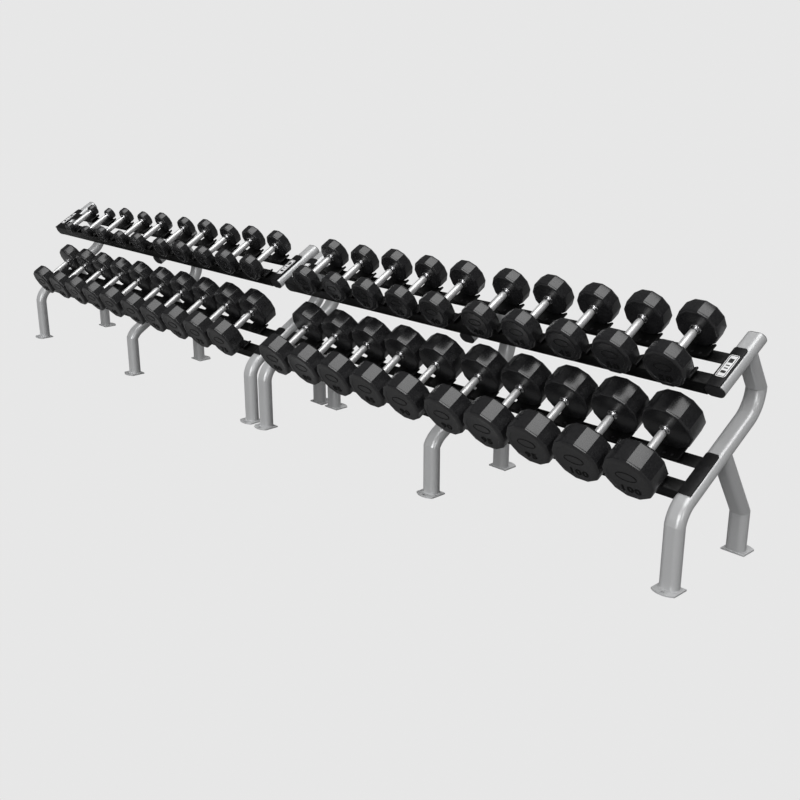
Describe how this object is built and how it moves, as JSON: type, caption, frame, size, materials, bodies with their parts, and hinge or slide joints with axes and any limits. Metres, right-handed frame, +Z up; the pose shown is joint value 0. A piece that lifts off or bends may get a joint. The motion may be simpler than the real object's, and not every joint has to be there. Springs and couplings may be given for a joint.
{
  "type": "dumbbell rack",
  "caption": "Free-standing two-tier sloped dumbbell racks in a row, oval-tube frames and angle rails with saddles, loaded with a graded set of twelve-sided dumbbells.",
  "frame": {"origin": "on the floor, under the middle of the whole run's bounding box", "axes": "+X along the racks towards the heavier dumbbells, +Y from front to back, +Z up"},
  "size_m": [4.835, 0.6414, 0.9512],
  "materials": {
    "frame_silver": "satin silver powder coat",
    "rail_black": "semi-gloss black powder coat",
    "end_plate_black": "semi-gloss black powder coat",
    "badge_metal": "printed satin",
    "cap_black": "moulded",
    "saddle_black": "moulded, fine grain",
    "screw_steel": "black oxide",
    "dumbbell_black": "black urethane over iron; bright steel handle"
  },
  "bodies": {
    "racks": {"arm_caps": "cap_black", "arm_posts": "frame_silver", "arm_tubes": "frame_silver", "badge_plates": "badge_metal", "foot_plates": "frame_silver", "front_legs": "frame_silver", "left_end_main_tubes": "frame_silver", "lower_front_rails": "rail_black", "lower_rear_rails": "rail_black", "middle_main_tubes": "frame_silver", "rear_struts": "frame_silver", "rear_stubs": "frame_silver", "right_end_main_tubes": "frame_silver", "saddle_screws_and_nuts": "screw_steel", "saddles": "saddle_black", "shelf_end_plates": "end_plate_black", "upper_front_rails": "rail_black", "upper_rear_rails": "rail_black"},
    "dumbbell_005_lb_a": {"dumbbell_005_lb_a": "dumbbell_black"},
    "dumbbell_005_lb_b": {"dumbbell_005_lb_b": "dumbbell_black"},
    "dumbbell_010_lb_a": {"dumbbell_010_lb_a": "dumbbell_black"},
    "dumbbell_010_lb_b": {"dumbbell_010_lb_b": "dumbbell_black"},
    "dumbbell_015_lb_a": {"dumbbell_015_lb_a": "dumbbell_black"},
    "dumbbell_015_lb_b": {"dumbbell_015_lb_b": "dumbbell_black"},
    "dumbbell_020_lb_a": {"dumbbell_020_lb_a": "dumbbell_black"},
    "dumbbell_020_lb_b": {"dumbbell_020_lb_b": "dumbbell_black"},
    "dumbbell_025_lb_a": {"dumbbell_025_lb_a": "dumbbell_black"},
    "dumbbell_025_lb_b": {"dumbbell_025_lb_b": "dumbbell_black"},
    "dumbbell_030_lb_a": {"dumbbell_030_lb_a": "dumbbell_black"},
    "dumbbell_030_lb_b": {"dumbbell_030_lb_b": "dumbbell_black"},
    "dumbbell_035_lb_a": {"dumbbell_035_lb_a": "dumbbell_black"},
    "dumbbell_035_lb_b": {"dumbbell_035_lb_b": "dumbbell_black"},
    "dumbbell_040_lb_a": {"dumbbell_040_lb_a": "dumbbell_black"},
    "dumbbell_040_lb_b": {"dumbbell_040_lb_b": "dumbbell_black"},
    "dumbbell_045_lb_a": {"dumbbell_045_lb_a": "dumbbell_black"},
    "dumbbell_045_lb_b": {"dumbbell_045_lb_b": "dumbbell_black"},
    "dumbbell_050_lb_a": {"dumbbell_050_lb_a": "dumbbell_black"},
    "dumbbell_050_lb_b": {"dumbbell_050_lb_b": "dumbbell_black"},
    "dumbbell_055_lb_a": {"dumbbell_055_lb_a": "dumbbell_black"},
    "dumbbell_055_lb_b": {"dumbbell_055_lb_b": "dumbbell_black"},
    "dumbbell_060_lb_a": {"dumbbell_060_lb_a": "dumbbell_black"},
    "dumbbell_060_lb_b": {"dumbbell_060_lb_b": "dumbbell_black"},
    "dumbbell_065_lb_a": {"dumbbell_065_lb_a": "dumbbell_black"},
    "dumbbell_065_lb_b": {"dumbbell_065_lb_b": "dumbbell_black"},
    "dumbbell_070_lb_a": {"dumbbell_070_lb_a": "dumbbell_black"},
    "dumbbell_070_lb_b": {"dumbbell_070_lb_b": "dumbbell_black"},
    "dumbbell_075_lb_a": {"dumbbell_075_lb_a": "dumbbell_black"},
    "dumbbell_075_lb_b": {"dumbbell_075_lb_b": "dumbbell_black"},
    "dumbbell_080_lb_a": {"dumbbell_080_lb_a": "dumbbell_black"},
    "dumbbell_080_lb_b": {"dumbbell_080_lb_b": "dumbbell_black"},
    "dumbbell_085_lb_a": {"dumbbell_085_lb_a": "dumbbell_black"},
    "dumbbell_085_lb_b": {"dumbbell_085_lb_b": "dumbbell_black"},
    "dumbbell_090_lb_a": {"dumbbell_090_lb_a": "dumbbell_black"},
    "dumbbell_090_lb_b": {"dumbbell_090_lb_b": "dumbbell_black"},
    "dumbbell_095_lb_a": {"dumbbell_095_lb_a": "dumbbell_black"},
    "dumbbell_095_lb_b": {"dumbbell_095_lb_b": "dumbbell_black"},
    "dumbbell_100_lb_a": {"dumbbell_100_lb_a": "dumbbell_black"},
    "dumbbell_100_lb_b": {"dumbbell_100_lb_b": "dumbbell_black"}
  },
  "joints": [
    {"name": "dumbbell_005_lb_a_lift_off", "type": "slide", "parent": "racks", "child": "dumbbell_005_lb_a", "axis": [0, -0.9511, 0.309], "range_m": [0, 0.25]},
    {"name": "dumbbell_005_lb_b_lift_off", "type": "slide", "parent": "racks", "child": "dumbbell_005_lb_b", "axis": [0, -0.9511, 0.309], "range_m": [0, 0.25]},
    {"name": "dumbbell_010_lb_a_lift_off", "type": "slide", "parent": "racks", "child": "dumbbell_010_lb_a", "axis": [0, -0.9511, 0.309], "range_m": [0, 0.25]},
    {"name": "dumbbell_010_lb_b_lift_off", "type": "slide", "parent": "racks", "child": "dumbbell_010_lb_b", "axis": [0, -0.9511, 0.309], "range_m": [0, 0.25]},
    {"name": "dumbbell_015_lb_a_lift_off", "type": "slide", "parent": "racks", "child": "dumbbell_015_lb_a", "axis": [0, -0.9511, 0.309], "range_m": [0, 0.25]},
    {"name": "dumbbell_015_lb_b_lift_off", "type": "slide", "parent": "racks", "child": "dumbbell_015_lb_b", "axis": [0, -0.9511, 0.309], "range_m": [0, 0.25]},
    {"name": "dumbbell_020_lb_a_lift_off", "type": "slide", "parent": "racks", "child": "dumbbell_020_lb_a", "axis": [0, -0.9511, 0.309], "range_m": [0, 0.25]},
    {"name": "dumbbell_020_lb_b_lift_off", "type": "slide", "parent": "racks", "child": "dumbbell_020_lb_b", "axis": [0, -0.9511, 0.309], "range_m": [0, 0.25]},
    {"name": "dumbbell_025_lb_a_lift_off", "type": "slide", "parent": "racks", "child": "dumbbell_025_lb_a", "axis": [0, -0.9511, 0.309], "range_m": [0, 0.25]},
    {"name": "dumbbell_025_lb_b_lift_off", "type": "slide", "parent": "racks", "child": "dumbbell_025_lb_b", "axis": [0, -0.9511, 0.309], "range_m": [0, 0.25]},
    {"name": "dumbbell_030_lb_a_lift_off", "type": "slide", "parent": "racks", "child": "dumbbell_030_lb_a", "axis": [0, -0.9511, 0.309], "range_m": [0, 0.25]},
    {"name": "dumbbell_030_lb_b_lift_off", "type": "slide", "parent": "racks", "child": "dumbbell_030_lb_b", "axis": [0, -0.9511, 0.309], "range_m": [0, 0.25]},
    {"name": "dumbbell_035_lb_a_lift_off", "type": "slide", "parent": "racks", "child": "dumbbell_035_lb_a", "axis": [0, -0.9511, 0.309], "range_m": [0, 0.25]},
    {"name": "dumbbell_035_lb_b_lift_off", "type": "slide", "parent": "racks", "child": "dumbbell_035_lb_b", "axis": [0, -0.9511, 0.309], "range_m": [0, 0.25]},
    {"name": "dumbbell_040_lb_a_lift_off", "type": "slide", "parent": "racks", "child": "dumbbell_040_lb_a", "axis": [0, -0.9511, 0.309], "range_m": [0, 0.25]},
    {"name": "dumbbell_040_lb_b_lift_off", "type": "slide", "parent": "racks", "child": "dumbbell_040_lb_b", "axis": [0, -0.9511, 0.309], "range_m": [0, 0.25]},
    {"name": "dumbbell_045_lb_a_lift_off", "type": "slide", "parent": "racks", "child": "dumbbell_045_lb_a", "axis": [0, -0.9511, 0.309], "range_m": [0, 0.25]},
    {"name": "dumbbell_045_lb_b_lift_off", "type": "slide", "parent": "racks", "child": "dumbbell_045_lb_b", "axis": [0, -0.9511, 0.309], "range_m": [0, 0.25]},
    {"name": "dumbbell_050_lb_a_lift_off", "type": "slide", "parent": "racks", "child": "dumbbell_050_lb_a", "axis": [0, -0.9511, 0.309], "range_m": [0, 0.25]},
    {"name": "dumbbell_050_lb_b_lift_off", "type": "slide", "parent": "racks", "child": "dumbbell_050_lb_b", "axis": [0, -0.9511, 0.309], "range_m": [0, 0.25]},
    {"name": "dumbbell_055_lb_a_lift_off", "type": "slide", "parent": "racks", "child": "dumbbell_055_lb_a", "axis": [0, -0.9511, 0.309], "range_m": [0, 0.25]},
    {"name": "dumbbell_055_lb_b_lift_off", "type": "slide", "parent": "racks", "child": "dumbbell_055_lb_b", "axis": [0, -0.9511, 0.309], "range_m": [0, 0.25]},
    {"name": "dumbbell_060_lb_a_lift_off", "type": "slide", "parent": "racks", "child": "dumbbell_060_lb_a", "axis": [0, -0.9511, 0.309], "range_m": [0, 0.25]},
    {"name": "dumbbell_060_lb_b_lift_off", "type": "slide", "parent": "racks", "child": "dumbbell_060_lb_b", "axis": [0, -0.9511, 0.309], "range_m": [0, 0.25]},
    {"name": "dumbbell_065_lb_a_lift_off", "type": "slide", "parent": "racks", "child": "dumbbell_065_lb_a", "axis": [0, -0.9511, 0.309], "range_m": [0, 0.25]},
    {"name": "dumbbell_065_lb_b_lift_off", "type": "slide", "parent": "racks", "child": "dumbbell_065_lb_b", "axis": [0, -0.9511, 0.309], "range_m": [0, 0.25]},
    {"name": "dumbbell_070_lb_a_lift_off", "type": "slide", "parent": "racks", "child": "dumbbell_070_lb_a", "axis": [0, -0.9511, 0.309], "range_m": [0, 0.25]},
    {"name": "dumbbell_070_lb_b_lift_off", "type": "slide", "parent": "racks", "child": "dumbbell_070_lb_b", "axis": [0, -0.9511, 0.309], "range_m": [0, 0.25]},
    {"name": "dumbbell_075_lb_a_lift_off", "type": "slide", "parent": "racks", "child": "dumbbell_075_lb_a", "axis": [0, -0.9511, 0.309], "range_m": [0, 0.25]},
    {"name": "dumbbell_075_lb_b_lift_off", "type": "slide", "parent": "racks", "child": "dumbbell_075_lb_b", "axis": [0, -0.9511, 0.309], "range_m": [0, 0.25]},
    {"name": "dumbbell_080_lb_a_lift_off", "type": "slide", "parent": "racks", "child": "dumbbell_080_lb_a", "axis": [0, -0.9511, 0.309], "range_m": [0, 0.25]},
    {"name": "dumbbell_080_lb_b_lift_off", "type": "slide", "parent": "racks", "child": "dumbbell_080_lb_b", "axis": [0, -0.9511, 0.309], "range_m": [0, 0.25]},
    {"name": "dumbbell_085_lb_a_lift_off", "type": "slide", "parent": "racks", "child": "dumbbell_085_lb_a", "axis": [0, -0.9511, 0.309], "range_m": [0, 0.25]},
    {"name": "dumbbell_085_lb_b_lift_off", "type": "slide", "parent": "racks", "child": "dumbbell_085_lb_b", "axis": [0, -0.9511, 0.309], "range_m": [0, 0.25]},
    {"name": "dumbbell_090_lb_a_lift_off", "type": "slide", "parent": "racks", "child": "dumbbell_090_lb_a", "axis": [0, -0.9511, 0.309], "range_m": [0, 0.25]},
    {"name": "dumbbell_090_lb_b_lift_off", "type": "slide", "parent": "racks", "child": "dumbbell_090_lb_b", "axis": [0, -0.9511, 0.309], "range_m": [0, 0.25]},
    {"name": "dumbbell_095_lb_a_lift_off", "type": "slide", "parent": "racks", "child": "dumbbell_095_lb_a", "axis": [0, -0.9511, 0.309], "range_m": [0, 0.25]},
    {"name": "dumbbell_095_lb_b_lift_off", "type": "slide", "parent": "racks", "child": "dumbbell_095_lb_b", "axis": [0, -0.9511, 0.309], "range_m": [0, 0.25]},
    {"name": "dumbbell_100_lb_a_lift_off", "type": "slide", "parent": "racks", "child": "dumbbell_100_lb_a", "axis": [0, -0.9511, 0.309], "range_m": [0, 0.25]},
    {"name": "dumbbell_100_lb_b_lift_off", "type": "slide", "parent": "racks", "child": "dumbbell_100_lb_b", "axis": [0, -0.9511, 0.309], "range_m": [0, 0.25]}
  ]
}
